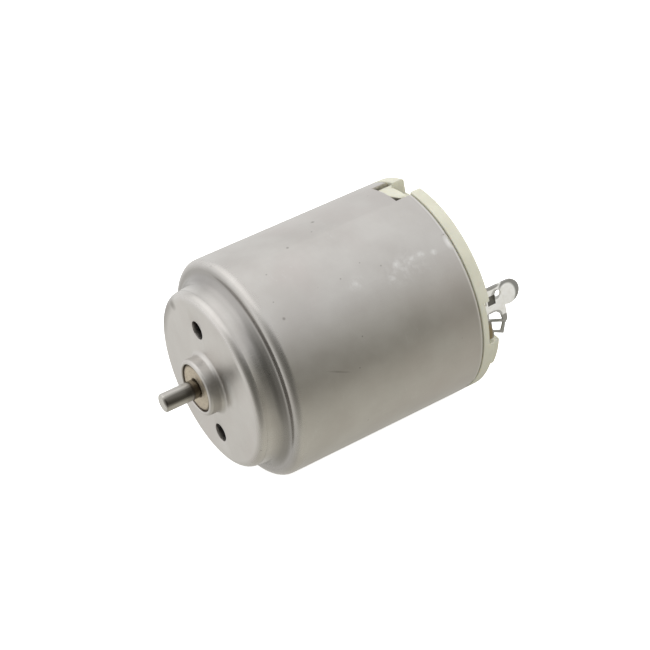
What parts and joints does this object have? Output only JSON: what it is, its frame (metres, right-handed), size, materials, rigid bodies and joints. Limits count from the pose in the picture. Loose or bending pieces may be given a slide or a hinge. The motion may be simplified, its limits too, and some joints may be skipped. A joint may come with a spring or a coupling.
{
  "type": "electric motor",
  "caption": "Small round brushed DC motor: drawn steel can with a stepped nose, cream end cap with two solder terminals, plain shaft and a wound rotor inside.",
  "frame": {"origin": "on the shaft axis, in the plane of the front mounting face", "axes": "the shaft's free end points to -Y and the end cap is at +Y; +Z is the end cap's key and one mounting hole; the solder terminals are at +X and -X"},
  "size_m": [0.0238, 0.0369, 0.0238],
  "materials": {
    "plated_can": "satin zinc-plated drawn sheet with faint drawing marks",
    "sintered_bronze": "matt porous oil-filled bronze",
    "ferrite": "matt dark grey",
    "spring_steel": "bright rolled strip",
    "nylon": "cream moulded plastic, slightly translucent",
    "tinned_brass": "bright tin plating",
    "spring_bronze": "rolled phosphor bronze",
    "carbon": "matt pressed graphite",
    "shaft_steel": "ground and polished",
    "white_plastic": "moulded white plastic",
    "brass_spacer": "turned brass",
    "lamination_steel": "stamped sheets with a varnished edge",
    "green_insulation": "pressed fibre sheet",
    "copper_wire": "enamelled copper wire wound in layers",
    "phenolic": "moulded dark red resin",
    "copper_bar": "drawn copper, polished where the brush runs",
    "ceramic": "fired dark ceramic"
  },
  "bodies": {
    "stator": {"can": "plated_can", "front_bearing": "sintered_bronze", "magnet_right": "ferrite", "magnet_left": "ferrite", "magnet_clip": "spring_steel", "end_cap": "nylon", "rear_bearing": "sintered_bronze", "terminal_right": "tinned_brass", "terminal_left": "tinned_brass"},
    "rotor": {"shaft": "shaft_steel", "front_washer": "white_plastic", "front_spacer": "brass_spacer", "rotor_laminations": "lamination_steel", "front_insulator": "green_insulation", "rear_insulator": "green_insulation", "winding_a": "copper_wire", "winding_b": "copper_wire", "winding_c": "copper_wire", "commutator_sleeve": "phenolic", "commutator_bar_a": "copper_bar", "commutator_bar_b": "copper_bar", "commutator_bar_c": "copper_bar", "commutator_ring": "white_plastic", "varistor_ring": "ceramic", "rear_washer": "white_plastic"},
    "right_brush_gear": {"brush_spring_right": "spring_bronze", "brush_right": "carbon"},
    "left_brush_gear": {"brush_spring_left": "spring_bronze", "brush_left": "carbon"}
  },
  "joints": [
    {"name": "shaft_spin", "type": "hinge", "parent": "stator", "child": "rotor", "pos_m": [0, 0, 0], "axis": [0, 1, 0], "continuous": true},
    {"name": "right_brush_lift", "type": "hinge", "parent": "stator", "child": "right_brush_gear", "pos_m": [0.005, 0.0225, 0.0072], "axis": [0, -1, 0], "range_deg": [0, 5], "stiffness_Nm_per_rad": 0.01, "springref_deg": -8.25},
    {"name": "left_brush_lift", "type": "hinge", "parent": "stator", "child": "left_brush_gear", "pos_m": [-0.005, 0.0225, -0.0072], "axis": [0, -1, 0], "range_deg": [0, 5], "stiffness_Nm_per_rad": 0.01, "springref_deg": -8.25}
  ]
}
